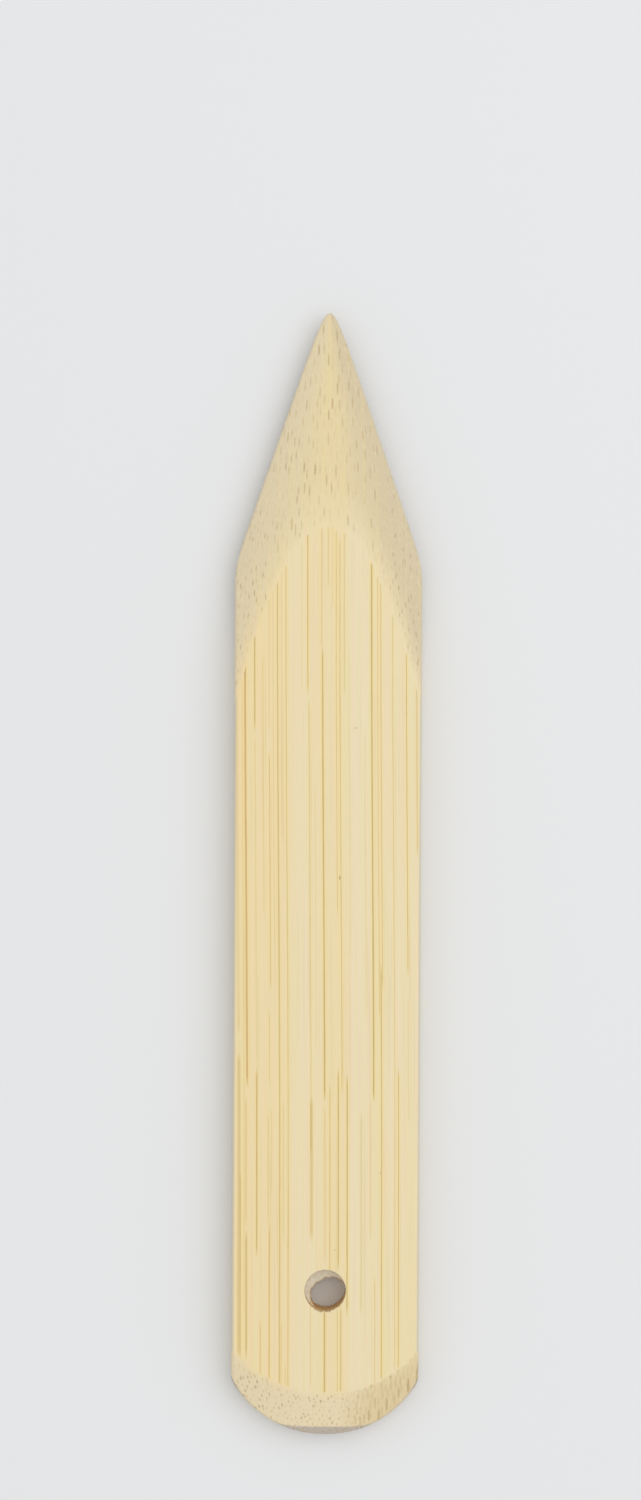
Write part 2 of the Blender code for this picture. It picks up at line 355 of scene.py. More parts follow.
def groove_depth(across, along, is_back):
    """How deep planing left the grain below the flat face: a shallow groove along each strong fibre line."""
    fade = smooth(inside_face(across, along) / GROOVE_FADE)
    fade *= smooth((HALF_WIDTH - abs(across)) / GROOVE_FADE - 1)
    if fade == 0:
        return 0
    place = grain_place(across, along, is_back)
    y = along / MM
    depth = 0
    for line in FIBRE_LINES:
        nearness = 1 - abs(place - line.place) / GROOVE_HALF_WIDTH
        if nearness > 0:
            run = min(line.top - y, y - line.bottom) / LINE_FADE
            depth = max(depth, line.darkness * smooth(nearness) * smooth(run))
    return GROOVE_DEPTH * depth * fade


def level_columns_reach(along, width, inner):
    """How far across the inner columns of a section reach. They end on the border of the flat face or of the
    heel's nose, and away from those they even out."""
    from_tip, from_heel = HALF_LENGTH - along, HALF_LENGTH + along
    level = min(point_level_half_width(from_tip, width), heel_level_half_width(from_heel, width))
    share = min(max(level / inner, LEAST_LEVEL_SHARE), MOST_LEVEL_SHARE)
    away = max(
        ARCH_START - from_tip,
        min(from_tip - ARCH_END, from_heel - HEEL_BEVEL_SIDE_DEPTH),
        min(HEEL_BEVEL_DEPTH - from_heel, from_heel - HEEL_NOSE_DEPTH),
    )
    return inner * (share + (EVEN_LEVEL_SHARE - share) * smooth(away / EVENING_RUN))


def columns_of(along, width, inner):
    """Where a section's points stand across its upper and lower rows, from left to right."""
    reach = level_columns_reach(along, width, inner)
    right = [reach * step / LEVEL_STEPS for step in range(1, LEVEL_STEPS)]
    right += [reach + (inner - reach) * step / BEVEL_STEPS for step in range(BEVEL_STEPS + 1)]
    return [-across for across in reversed(right)] + [0] + right


def edge_profile(width, inner, top):
    """The side wall with its two eased edges, from the upper face round to the lower one."""
    ease = width - inner
    upper = []
    for step in range(EASE_STEPS + 1):
        turn = QUARTER_TURN * step / EASE_STEPS
        upper.append((inner + ease * math.sin(turn), top - ease * (1 - math.cos(turn))))
    wall = top - ease
    middle = [(width, wall * (1 - 2 * step / WALL_STEPS)) for step in range(1, WALL_STEPS)]
    return upper + middle + [(across, -up) for across, up in reversed(upper)]


def spread(start, end, steps, crowding=1):
    """Places from start to end, closer together at start where crowding is over 1."""
    return [start + (end - start) * (step / steps) ** crowding for step in range(steps + 1)]


def stations():
    """Where the sections stand along the blade, from the heel to the tip."""
    from_tip = spread(0, TIP_NOSE_DEPTH, NOSE_STATIONS, END_CROWDING)
    from_tip += spread(TIP_NOSE_DEPTH, ARCH_START, POINT_STATIONS)
    shoulder_run = SHOULDER_ROUNDING / math.tan(FLANK_ANGLE)
    from_tip += spread(SHOULDER_DEPTH - shoulder_run, SHOULDER_DEPTH + shoulder_run, CORNER_STATIONS)
    from_tip += spread(ARCH_START, ARCH_END, ARCH_STATIONS, END_CROWDING)
    found = [HALF_LENGTH - depth for depth in from_tip]
    found += spread(HALF_LENGTH - ARCH_END, HOLE_PLACE + HOLE_SURROUND, BODY_STATIONS)
    found += spread(HOLE_PLACE - HOLE_SURROUND, HOLE_PLACE + HOLE_SURROUND, HOLE_STATIONS)
    from_heel = spread(0, HEEL_NOSE_DEPTH, NOSE_STATIONS, END_CROWDING)
    from_heel += spread(HEEL_NOSE_DEPTH, HEEL_BEVEL_DEPTH, HEEL_STATIONS)
    from_heel += spread(HEEL_BEVEL_DEPTH, HEEL_BEVEL_SIDE_DEPTH, HEEL_STATIONS)
    corner_run = HEEL_CORNER_ROUNDING * HALF_WIDTH / (HEEL_RADIUS - HEEL_RISE)
    from_heel += spread(HEEL_RISE - corner_run, HEEL_RISE + corner_run, CORNER_STATIONS)
    from_heel += spread(HEEL_BEVEL_SIDE_DEPTH, HALF_LENGTH + HOLE_PLACE - HOLE_SURROUND, CORNER_STATIONS)
    found += [depth - HALF_LENGTH for depth in from_heel]
    kept = []
    for along in sorted(found):
        if not kept or along - kept[-1] > LEAST_STATION_STEP:
            kept.append(along)
    return kept


def map_band(order):
    """Where a strip of the baking map begins: 0 and 1 are the faces, 2 and 3 the walls, 4 the hole's wall."""
    shares = (MAP_FACE_SHARE, MAP_FACE_SHARE, MAP_WALL_SHARE, MAP_WALL_SHARE)
    return MAP_GAP_SHARE + sum(share + MAP_GAP_SHARE for share in shares[:order])


def face_place(across, along, is_back):
    """A place of the upper or lower face on the baking map."""
    length = MAP_GAP_SHARE + (1 - 2 * MAP_GAP_SHARE) * (along + HALF_LENGTH) / LENGTH
    return length, map_band(int(is_back)) + MAP_FACE_SHARE * (across / HALF_WIDTH + 1) / 2


def wall_place(travelled_share, down_share, is_left):
    """A place of a side wall on the baking map, by how far round the outline and down the wall it is."""
    length = MAP_GAP_SHARE + (1 - 2 * MAP_GAP_SHARE) * travelled_share
    return length, map_band(2 + int(is_left)) + MAP_WALL_SHARE * down_share


def bore_place(turned_share, down_share):
    """A place of the hole's wall on the baking map."""
    return MAP_GAP_SHARE + MAP_BORE_LENGTH_SHARE * turned_share, map_band(4) + MAP_BORE_SHARE * down_share


def cap_place(start_share, across, up):
    """A place of one of the two small end flats on the baking map."""
    scale = MAP_CAP_SCALE_SHARE / MM
    return start_share + scale * across, map_band(4) + MAP_BORE_SHARE / 2 + scale * up


class Skin:
    """A mesh in the making: its points, its faces, and each face's places on the baking map. A corner is the
    number of a point together with its place."""

    def __init__(self):
        self.points = []
        self.faces = []
        self.places = []
        self.flat_faces = []

    def corner(self, x, y, z, place):
        self.points.append((x, y, z))
        return len(self.points) - 1, place

    def face(self, corners):
        self.faces.append([number for number, _ in corners])
        self.places.extend(place for _, place in corners)

    def band(self, near, far):
        """Faces between two rows of corners, left out where a corner isn't there."""
        for step in range(len(near) - 1):
            corners = (near[step], near[step + 1], far[step + 1], far[step])
            if None not in corners:
                self.face(corners)

    def flat_face(self, corners):
        self.flat_faces.append(len(self.faces))
        self.face(corners)


def wall_row(skin, along, profile, side, travelled, start, end):
    """The corners of a side wall in one section, from an upper or lower face's end to the other's."""
    is_left = side < 0
    if is_left:
        profile = [(across, -up) for across, up in profile]
    last = len(profile) - 1
    row = [(start, wall_place(travelled, 0, is_left))]
    for step in range(1, last):
        across, up = profile[step]
        place = wall_place(travelled, step / last, is_left)
        row.append(skin.corner(side * across, along, HALF_THICKNESS + up, place))
    return row + [(end, wall_place(travelled, 1, is_left))]


def face_row(skin, along, columns, width, is_back, hidden):
    """The corners of one section's upper or lower row, from left to right, without the hidden columns."""
    row = []
    for column, across in enumerate(columns):
        if column in hidden:
            row.append(None)
            continue
        up = half_height(across, along, width) - groove_depth(across, along, is_back)
        height = HALF_THICKNESS + (-up if is_back else up)
        row.append(skin.corner(across, along, height, face_place(across, along, is_back)))
    return row


def add_section(skin, along, travelled, hidden):
    """One section's four rows, in turn clockwise as seen from the heel."""
    width = half_width(along)
    ease = min(EDGE_EASE, EASE_WALL_SHARE * half_height(width, along, width), EASE_WALL_SHARE * width)
    inner = width - ease
    columns = columns_of(along, width, inner)
    upper = face_row(skin, along, columns, width, False, hidden)
    lower = face_row(skin, along, columns, width, True, hidden)
    profile = edge_profile(width, inner, half_height(inner, along, width))
    right = wall_row(skin, along, profile, 1, travelled, upper[-1][0], lower[-1][0])
    left = wall_row(skin, along, profile, -1, travelled, lower[0][0], upper[0][0])
    return {"upper": upper, "right": right, "lower": lower[::-1], "left": left}


def outline_travel(places):
    """How far round the outline each station is, as a share of the way from the heel's flat to the tip's."""
    travelled = [0]
    for near, far in zip(places, places[1:]):
        travelled.append(travelled[-1] + math.hypot(far - near, half_width(far) - half_width(near)))
    return [far / travelled[-1] for far in travelled]


def nearest(places, wanted):
    """The number of the place that is nearest to the wanted one."""
    return min(range(len(places)), key=lambda number: abs(places[number] - wanted))


def close_end(skin, section, start_share, is_heel):
    """The small flat at an end of the blade, as a row of faces between its upper and lower edge."""

    def placed(corners):
        found = []
        for number, _ in corners:
            across, _, up = skin.points[number]
            found.append((number, cap_place(start_share, across, up - HALF_THICKNESS)))
        return found[::-1] if is_heel else found

    upper, lower = section["upper"], section["lower"][::-1]
    for step in range(len(upper) - 1):
        skin.flat_face(placed((upper[step], upper[step + 1], lower[step + 1], lower[step])))
    skin.flat_face(placed(section["right"]))
    skin.flat_face(placed(section["left"]))


def cloudiness(turn, clouds, start):
    """Noise from -1 to 1 round the hole, with so many clouds to the hole's radius."""
    return noise.noise(Vector((math.cos(turn) * clouds, math.sin(turn) * clouds, start)))


def hole_fray(turn, depth_share):
    """How far the drill tore the hole's wall back. It is most at the rims, where it left the fibres."""
    torn = cloudiness(turn, RIM_CLOUDS, depth_share)
    rough = cloudiness(turn, WALL_CLOUDS, depth_share * WALL_CLOUDS_DOWN + WALL_CLOUDS_START)
    at_rims = abs(2 * depth_share - 1) ** RIM_CROWDING
    towards_heel = max(-math.sin(turn), 0) ** 2
    frayed = HOLE_FRAY * towards_heel * at_rims * share_of(LEAST_FRAY_SHARE + FRAY_SPREAD_SHARE * torn)
    return frayed + HOLE_ROUGHNESS * rough


def web_width(turn):
    """How far the web of fibres reaches into the hole from its wall."""
    torn = cloudiness(turn, WEB_CLOUDS, WEB_CLOUDS_START)
    return max(WEB_SIDE_WIDTH + WEB_SWELL * math.cos(turn - WEB_TURN) + WEB_TEAR * torn, 0)


def hole_profile():
    """The hole's wall from rim to rim: the share of the web's width that each ring stands in from the wall,
    how far its edge is eased out, and its height."""
    top = HALF_THICKNESS - HOLE_EASE
    web = HALF_THICKNESS - WEB_DEPTH
    upper = []
    for step in range(1, HOLE_RIM_STEPS + 1):
        turn = QUARTER_TURN * step / HOLE_RIM_STEPS
        upper.append((0, HOLE_EASE * (1 - math.sin(turn)), top + HOLE_EASE * math.cos(turn)))
    for step in range(1, HOLE_RECESS_STEPS + 1):
        upper.append((0, 0, top + (web - top) * step / HOLE_RECESS_STEPS))
    for step in range(1, HOLE_WEB_STEPS + 1):
        share = step / HOLE_WEB_STEPS
        upper.append((share, 0, web - WEB_DROP * share**2))
    deepest = web - WEB_DROP
    middle = [(1, 0, deepest * (1 - 2 * step / HOLE_WALL_STEPS)) for step in range(1, HOLE_WALL_STEPS)]
    return upper + middle + [(share, eased, -up) for share, eased, up in reversed(upper)]


def bore_hang_hole(skin, sections, first, last, left, right):
    """The hole and the faces round it. Rings of points narrow from the block that the hole stands in to its
    rim, go down its wall and widen again on the other face."""
    block = [(first, column) for column in range(left, right)]
    block += [(station, right) for station in range(first, last)]
    block += [(last, column) for column in range(right, left, -1)]
    block += [(station, left) for station in range(last, first, -1)]
    upper = [sections[station]["upper"][column] for station, column in block]
    lower = [sections[station]["lower"][-1 - column] for station, column in block]
    starts = [skin.points[number] for number, _ in upper]
    turns = [math.atan2(y - HOLE_PLACE, x) for x, y, _ in starts]

    def closed(row):
        return row + row[:1]

    def face_ring(share, is_back):
        ring = []
        for (x, y, _), turn in zip(starts, turns):
            rim = HOLE_RADIUS + HOLE_EASE + hole_fray(turn, int(is_back))
            across = x + (rim * math.cos(turn) - x) * share
            along = y + (HOLE_PLACE + rim * math.sin(turn) - y) * share
            up = HALF_THICKNESS - groove_depth(across, along, is_back) * (1 - share)
            height = HALF_THICKNESS + (-up if is_back else up)
            ring.append(skin.corner(across, along, height, face_place(across, along, is_back)))
        return ring

    shares = [1 - (1 - step / HOLE_RINGS) ** RING_CROWDING for step in range(1, HOLE_RINGS + 1)]
    upper_rings = [upper] + [face_ring(share, False) for share in shares]
    lower_rings = [lower] + [face_ring(share, True) for share in shares]
    for near, far in zip(upper_rings, upper_rings[1:]):
        skin.band(closed(near), closed(far))
    for near, far in zip(lower_rings, lower_rings[1:]):
        skin.band(closed(far), closed(near))

    def bore_row(numbers, down_share):
        turned = [(number, bore_place(step / len(turns), down_share)) for step, number in enumerate(numbers)]
        return turned + [(numbers[0], bore_place(1, down_share))]

    profile = hole_profile()
    rows = [bore_row([number for number, _ in upper_rings[-1]], 0)]
    for step, (share, eased, up) in enumerate(profile, 1):
        numbers = []
        for turn in turns:
            frayed = HOLE_RADIUS + eased + hole_fray(turn, (HALF_THICKNESS - up) / THICKNESS)
            radius = frayed - share * web_width(turn)
            across, along = radius * math.cos(turn), HOLE_PLACE + radius * math.sin(turn)
            numbers.append(skin.corner(across, along, HALF_THICKNESS + up, None)[0])
        rows.append(bore_row(numbers, step / (len(profile) + 1)))
    rows.append(bore_row([number for number, _ in lower_rings[-1]], 1))
    for near, far in zip(rows, rows[1:]):
        skin.band(near, far)


def make_blade():
    """The whole blade as one closed skin."""
    skin = Skin()
    places = stations()
    first = nearest(places, HOLE_PLACE - HOLE_SURROUND)
    last = nearest(places, HOLE_PLACE + HOLE_SURROUND)
    columns = columns_of(HOLE_PLACE, HALF_WIDTH, HALF_WIDTH - EDGE_EASE)
    left, right = nearest(columns, -HOLE_SURROUND), nearest(columns, HOLE_SURROUND)
    sections = []
    for station, (along, travelled) in enumerate(zip(places, outline_travel(places))):
        hidden = range(left + 1, right) if first < station < last else ()
        sections.append(add_section(skin, along, travelled, hidden))
    for near, far in zip(sections, sections[1:]):
        for row in near:
            skin.band(near[row], far[row])
    close_end(skin, sections[0], MAP_HEEL_CAP_SHARE, True)
    close_end(skin, sections[-1], MAP_TIP_CAP_SHARE, False)
    bore_hang_hole(skin, sections, first, last, left, right)

    mesh = bpy.data.meshes.new("sanded_blade")
    mesh.from_pydata(skin.points, [], skin.faces)
    baking_map = mesh.uv_layers.new(name=MAP_NAME)
    baking_map.data.foreach_set("uv", [share for place in skin.places for share in place])
    mesh.shade_smooth()
    for number in skin.flat_faces:
        mesh.polygons[number].use_smooth = False
    blade = bpy.data.objects.new("sanded_blade", mesh)
    bpy.context.scene.collection.objects.link(blade)
    return blade


class Signal:
    """A number that varies over a surface. A sum with it adds the Math node that works the sum out."""

    def __init__(self, network, socket):
        self.network = network
        self.socket = socket

    def math(self, operation, *others):
        return self.network.math(operation, self, *others)

    def __add__(self, other):
        return self.math("ADD", other)

    def __sub__(self, other):
        return self.math("SUBTRACT", other)

    def __rsub__(self, other):
        return self.network.math("SUBTRACT", other, self)

    def __mul__(self, other):
        return self.math("MULTIPLY", other)

    def __truediv__(self, other):
        return self.math("DIVIDE", other)

    def __abs__(self):
        return self.math("ABSOLUTE")

    __radd__ = __add__
    __rmul__ = __mul__

    def clamped(self):
        return self.network.signal("ShaderNodeClamp", {}, {"Value": self})

    def least(self, other):
        return self.math("MINIMUM", other)

    def most(self, other):
        return self.math("MAXIMUM", other)

    def above(self, limit):
        return self.math("GREATER_THAN", limit)

    def rise(self, start, end):
        """0 up to the start, 1 from the end on and rising evenly between. It falls where the end is less."""
        return ((self - start) / (end - start)).clamped()

    def between(self, first, second):
        """The first number where this one is 0, and the second where it is 1."""
        return first * (1 - self) + second * self


class Network:
    """The nodes of a material or of the world."""

    def __init__(self, tree):
        self.tree = tree

    def node(self, kind, settings, values):
        """A node of this kind. Its settings are set first, then the values or links of its sockets."""
        made = self.tree.nodes.new(kind)
        for name, value in settings.items():
            if name == "stops":
                self.set_stops(made.color_ramp, value)
            else:
                setattr(made, name, value)
        self.feed(made, values)
        return made

    def set_stops(self, ramp, stops):
        """Gives a ramp its stops, as pairs of a position and a grey."""
        while len(ramp.elements) < len(stops):
            ramp.elements.new(1)
        for element, (position, grey) in zip(ramp.elements, stops):
            element.position = position
            element.color = (grey, grey, grey, 1)

    def feed(self, node, values):
        for name, value in values.items():
            if isinstance(value, Signal):
                value = value.socket
            if isinstance(value, bpy.types.NodeSocket):
                self.tree.links.new(value, node.inputs[name])
            else:
                node.inputs[name].default_value = value

    def signal(self, kind, settings, values, output=0):
        return Signal(self, self.node(kind, settings, values).outputs[output])

    def math(self, operation, *values):
        return self.signal("ShaderNodeMath", {"operation": operation}, dict(enumerate(values)))

    def blend(self, share, first, second):
        """One colour going over into another."""
        values = {0: share, 6: first, 7: second}
        return self.node("ShaderNodeMix", {"data_type": "RGBA"}, values).outputs[2]

    def vector(self, x, y, z=0):
        return self.node("ShaderNodeCombineXYZ", {}, {"X": x, "Y": y, "Z": z}).outputs[0]

    def parts(self, vector):
        """The three numbers of a vector."""
        made = self.node("ShaderNodeSeparateXYZ", {}, {0: vector})
        return [Signal(self, output) for output in made.outputs]

    def ramp(self, value, stops):
        return self.signal("ShaderNodeValToRGB", {"stops": stops}, {"Fac": value})

    def clouds(self, kind, across, along=0, through=0):
        """Cloudy noise from 0 to 1, drawn out along the grain as its kind says."""
        place = self.vector(across * kind.across, along * kind.along + kind.start, through * kind.through)
        return self.signal("ShaderNodeTexNoise", {}, {"Vector": place, "Scale": 1.0, "Detail": kind.detail})

    def swing(self, kind, across, along=0):
        """The same noise about 0, as far to both sides as half its kind's swing."""
        return (self.clouds(kind, across, along) - NOISE_MIDDLE) * kind.swing


class Finish(Network):
    """A material in the making."""

    def __init__(self, name):
        self.material = bpy.data.materials.new(name)
        self.material.use_nodes = True
        super().__init__(self.material.node_tree)
        self.shader = self.tree.nodes["Principled BSDF"]


def colour(red, green, blue):
    """A colour from the usual 0 to 255 values, as light."""

    def light(value):
        share = value / 255
        return share / 12.92 if share <= 0.04045 else ((share + 0.055) / 1.055) ** 2.4

    return light(red), light(green), light(blue), 1.0


# The bamboo's colours
PALE_FLESH = colour(236, 221, 183)
WARM_FLESH = colour(238, 215, 163)
OLIVE_LINE = colour(195, 177, 117)
RUDDY_LINE = colour(210, 168, 113)
LINE_GLOW = colour(241, 217, 150)
MARK_BROWN = colour(150, 130, 90)
ROSY_FLESH = colour(239, 213, 181)
GREEN_FLESH = colour(230, 223, 168)
FLECK_FLESH = colour(246, 233, 194)
GROUND_FLESH = colour(231, 212, 166)
HEEL_FLESH = colour(234, 216, 179)
# Painted shade, partly a greyer tint, for the ground faces' flanks; darker on the right against the key lamp
GROUND_SHADE_LEFT = colour(224, 208, 173)
GROUND_SHADE_RIGHT = colour(213, 197, 163)
BUNDLE_END = colour(172, 143, 86)
# NOSE_SHADE_COLOUR is painted shade for the steep heel nose, which faces away from the light
NOSE_SHADE_COLOUR = colour(189, 178, 165)
HEEL_TAN = colour(222, 199, 150)
WALL_FLESH = colour(222, 206, 166)
# EDGE_SHADE_COLOUR is painted shade for the eased edges, which tilt away from the light
EDGE_SHADE_COLOUR = colour(208, 200, 181)
WEB_FLESH = colour(226, 220, 200)
BORE_WALL = colour(226, 192, 130)
# BORE_SHADE is the hole wall's painted shade, laid on more deeply down the hole
BORE_SHADE = colour(190, 146, 86)

# How warm the flesh is across the blade, as pairs of a share of the width and a share of warmth
WARMTH_SHARES = (
    (0.0, 0.5), (0.05, 0.95), (0.15, 0.75), (0.28, 0.65), (0.34, 0.15), (0.42, 0.35), (0.52, 0.6),
    (0.59, 0.5), (0.64, 0.0), (0.71, 0.1), (0.78, 0.5), (0.86, 0.2), (1.0, 0.35),
)

# The cut ends of the fibre bundles on the ground faces, in millimetres: how far apart they stand across and
# through the strip, half their size both ways, and how dark they are
BundleEnds = namedtuple("BundleEnds", "across_pitch up_pitch half_across half_up darkness")
POINT_ENDS = BundleEnds(1.0, 0.135, 0.095, 0.048, 0.8)
SIDE_ENDS = BundleEnds(0.72, 0.15, 0.066, 0.042, 0.8)
HEEL_ENDS = BundleEnds(0.66, 0.14, 0.10, 0.036, 0.88)
HEEL_DASHES = BundleEnds(0.62, 0.34, 0.13, 0.16, 0.95)
END_STRAYING_SHARE = 0.75
END_STAGGER_SHARE = 0.5
LEAST_END_SIZE = 1.15
END_SIZE_SPREAD = 0.6
END_SHARPNESS = 1.3
LEAST_END_DARKNESS = 0.25
END_DARKNESS_SPREAD = 0.95

# Near the point's flanks the bundles were cut at another slope, which makes them closer and shorter
SIDE_CUT_RISE_SHARE = 0.6
SIDE_CUT_SLOPE_SHARE = 0.1

# Cloudy noises: the clouds to a millimetre across the grain, along it and through the strip, how fine they
# are, where they begin, so that no two are alike, and how far they swing what they work on
Clouds = namedtuple("Clouds", "across along through detail start swing", defaults=(0, 0, 2, 0, 1))
LINE_WOBBLE = Clouds(6, 0.35, swing=0.08)
ROW_WAVES = Clouds(0.03, 0.1, swing=0.5)
END_EDGES = Clouds(5, 3.5, detail=3, swing=1.6)
LINE_STARTS = Clouds(1.7, start=3, swing=3.6)
ARCH_NOTCHES = Clouds(3.5, start=7, swing=2.2)
ARCH_WAVES = Clouds(0.8, start=2, swing=4.5)
BROAD_STREAKS = Clouds(0.55, 0.012, detail=3)
STREAKS = Clouds(2.8, 0.045, detail=4)
THREADS = Clouds(5, 0.03, start=20)
TINTS = Clouds(1.6, 0.02, detail=3, start=40)
FINE_GRAIN = Clouds(11, 0.4, 11, detail=3)
PITH = Clouds(5, 3.2, 5, detail=3)
FLECKS = Clouds(3.4, 1.2, detail=3)
WALL_STREAKS = Clouds(4, 0.03, 0.1, detail=4)
NOISE_MIDDLE = 0.5

# The borders of the flat faces, in millimetres: by how much the strong lines stop short of them, how ragged
# the heel's is beside the arch, and over which stretch each fades
LINE_SHORTFALL = 0.792
HEEL_RAGGED_SHARE = 0.32
HEEL_SHORTFALL_SHARE = 0.15
ARCH_FADE = (-0.625, 0.625)
HEEL_FADE = (-0.156, 0.156)
LINE_START_FADE = (0, 0.2)
NEAR_FACE_FADE = (-6, 0)
HEEL_NEARNESS = 4

# How far the surface faces up or down where a mask starts and where it is full: level parts, eased edges, the
# steep part of those, the heel's nose, and all but the walls. A cut surface faces towards an end instead
LEVEL_SHARES = (0.55, 0.75)
# The eased edges' mask is where painted shade greys the edges
EASED_SHARES = (0.985, 0.818)
STEEP_SHARES = (0.5, 0)
# The nose's mask is where painted shade greys the heel's nose
NOSE_SHADE_SHARES = (0.957, 0.8856)
OFF_WALL_SHARES = (0.1, 0.35)
CUT_SHARES = (0.012, 0.0453)

# Where a line's dark core, its glow and a mark fade, in shares of half their size
LINE_CORE_SHARES = (1.2, 0.7)
LINE_GLOW_SHARES = (1.333, 0.667)
MARK_SHARES = (1.6, 0.6)
GLOW_WIDENING = 0.2
LEAST_DARKNESS = 0.001

# How strongly each thing colours the flat faces. A range is the stretch of a noise over which a mask rises
BROAD_WARMTH_SHARE = 1.1
STREAK_WARMTH_SHARE = 0.9
FULL_TINT = 0.5
LEAST_LINE_SHARE = 0.62
LINE_SPREAD_SHARE = 0.75
LINE_SHARE = 0.95
GLOW_SHARE = 0.8
THREAD_RANGE = (0.58, 0.723)
THREAD_SHARE = 0.26
FINE_RANGE = (0.5, 1)
FINE_SHARE = 0.175
# The two shares below set how strongly painted shade greys the eased edges
EDGE_SHADE_SHARE = 0.25
FACE_EDGE_SHADE_SHARE = 0.6

# The same for the ground faces. A pair of shares is for the heel's half of the blade and for the point's
# Painted shade towards the flanks and the tip of the ground faces
SIDE_SHADE_GAIN = 1.3
SIDE_SHADE_START = 0.15
TIP_SHADE_SHARE = 0.4
TIP_SHADE_FADE = (14, 0)
SIDE_SHADE_SHARES = (0.45, 1)
YELLOW_RANGE = (0.5, 0.917)
YELLOW_SHARES = (0.5, 1)
SIDE_YELLOW_LOSS_SHARE = 0.5
BORDER_FLESH_SHARES = (0.5, 0.8)
POINT_ENDS_MIDDLE = -1.5
POINT_ENDS_FADE = (16.1, 2.1)
SIDE_ENDS_FADE = (6.5, 9)
DASHES_FADE = (2, 7)
TAN_SHARE = 0.7
FLECK_RANGE = (0.56, 0.893)
FLECK_SHARE = 0.6
PITH_RANGE = (0.55, 1)
PITH_SHARE = 0.225
END_SHARE = 0.58
WALL_RANGE = (0.5, 0.75)
WALL_SHARE = 0.45

# The painted shade strip along the heel's nose, in millimetres. It widens from the middle, and pales further
# out
SHADE_STRIP_FADE = (-0.125, 0.125)
SHADE_STRIP_WIDENING = 0.00027
NOSE_SHADE_PALING_FADE = (4.3, 7.3)
NOSE_SHADE_PALING_SHARE = 0.7

# The hole's wall and its web
BORE_FADE = (-0.075, 0.425)
WEB_PITH_RANGE = (0.43, 1.14)
BORE_PITH_SHARE = 1.2
BORE_PITH_START = 0.5
# BORE_DEPTH_SHARE sets how much painted shade darkens the hole's wall with depth
BORE_DEPTH_SHARE = 0.25

# How dull the bamboo is, and its relief in millimetres
ROUGHNESS = 0.56
GROUND_ROUGHNESS = 0.08
FINE_ROUGHNESS = 0.12
LINE_ROUGHNESS = 0.08
FINE_RELIEF = 0.006
STREAK_RELIEF = 0.008
LINE_RELIEF = 0.012
END_RELIEF = 0.022
PITH_RELIEF = 0.012


class Spot:
    """A place on the blade in millimetres, as the material sees it: which fibre runs through it, how its
    surface lies, and in masks from 0 to 1 which part of the blade it is on."""

    def __init__(self, finish):
        source = finish.node("ShaderNodeTexCoord", {}, {})
        values = {0: source.outputs["Object"], "Scale": 1 / MM}
        scaled = finish.node("ShaderNodeVectorMath", {"operation": "SCALE"}, values)
        self.x, self.y, self.z = finish.parts(scaled.outputs[0])
        _, towards_ends, facing = finish.parts(source.outputs["Normal"])
        self.facing = abs(facing)
        self.level = self.facing.rise(*LEVEL_SHARES)
        self.cut = abs(towards_ends).rise(*CUT_SHARES)
        self.from_tip = HALF_LENGTH / MM - self.y
        self.from_heel = self.y + HALF_LENGTH / MM
        self.depth = HALF_THICKNESS / MM - abs(self.z - HALF_THICKNESS / MM)
        self.is_point = self.y.above(0)
        self.is_back = 1 - self.z.above(HALF_THICKNESS / MM)
        wander = (self.y / GRAIN_WANDER_RUN).math("SINE") * GRAIN_WANDER
        self.fibre = self.x + self.y * GRAIN_SLANT + wander
        self.grain = self.fibre * (1 - 2 * self.is_back) + self.is_back * BACK_GRAIN_SHIFT
        self.broad = finish.clouds(BROAD_STREAKS, self.grain, self.y)
        self.streaks = finish.clouds(STREAKS, self.grain, self.y)
        self.fine = finish.clouds(FINE_GRAIN, self.fibre, self.y, self.z)
        self.pith = finish.clouds(PITH, self.x, self.y, self.z)
        self.find_flat_face(finish)
        self.find_hole()

    def find_flat_face(self, finish):
        """The flat face inside its two ragged borders, its part that has lines, and the nearness to it."""
        ragged = finish.swing(ARCH_NOTCHES, self.grain) + finish.swing(ARCH_WAVES, self.grain)
        overrun = finish.swing(LINE_STARTS, self.grain) - LINE_SHORTFALL
        across_squared = self.x * self.x
        arch = ARCH_START / MM + across_squared * ((ARCH_END - ARCH_START) / HALF_WIDTH**2 * MM)
        past_arch = self.from_tip - arch
        below_centre = (HEEL_BEVEL_CENTRE / MM - self.from_heel).most(0)
        inside_heel = HEEL_BEVEL_RADIUS / MM - (across_squared + below_centre * below_centre).math("SQRT")
        self.face = (past_arch + ragged).rise(*ARCH_FADE)
        self.face = self.face * (inside_heel + ragged * HEEL_RAGGED_SHARE).rise(*HEEL_FADE)
        self.lined = (past_arch + overrun).rise(*LINE_START_FADE)
        self.lined = self.lined * (inside_heel + overrun * HEEL_SHORTFALL_SHARE).rise(*LINE_START_FADE)
        self.near_face = (past_arch + ragged).least(inside_heel * HEEL_NEARNESS).rise(*NEAR_FACE_FADE)

    def find_hole(self):
        """The hole's wall, and the web in it."""
        along = self.y - HOLE_PLACE / MM
        from_hole = (self.x * self.x + along * along).math("SQRT")
        in_hole = ((HOLE_RADIUS + HOLE_EASE + HOLE_FRAY) / MM - from_hole).above(0)
        self.bore = in_hole * (1 - self.level) * self.depth.rise(*BORE_FADE)
        self.web = in_hole * (self.depth - WEB_DEPTH / MM / 2).above(0) * self.level

    def by_end(self, heel_share, point_share):
        """One share on the heel's half of the blade and another on the point's."""
        return self.is_point * (point_share - heel_share) + heel_share


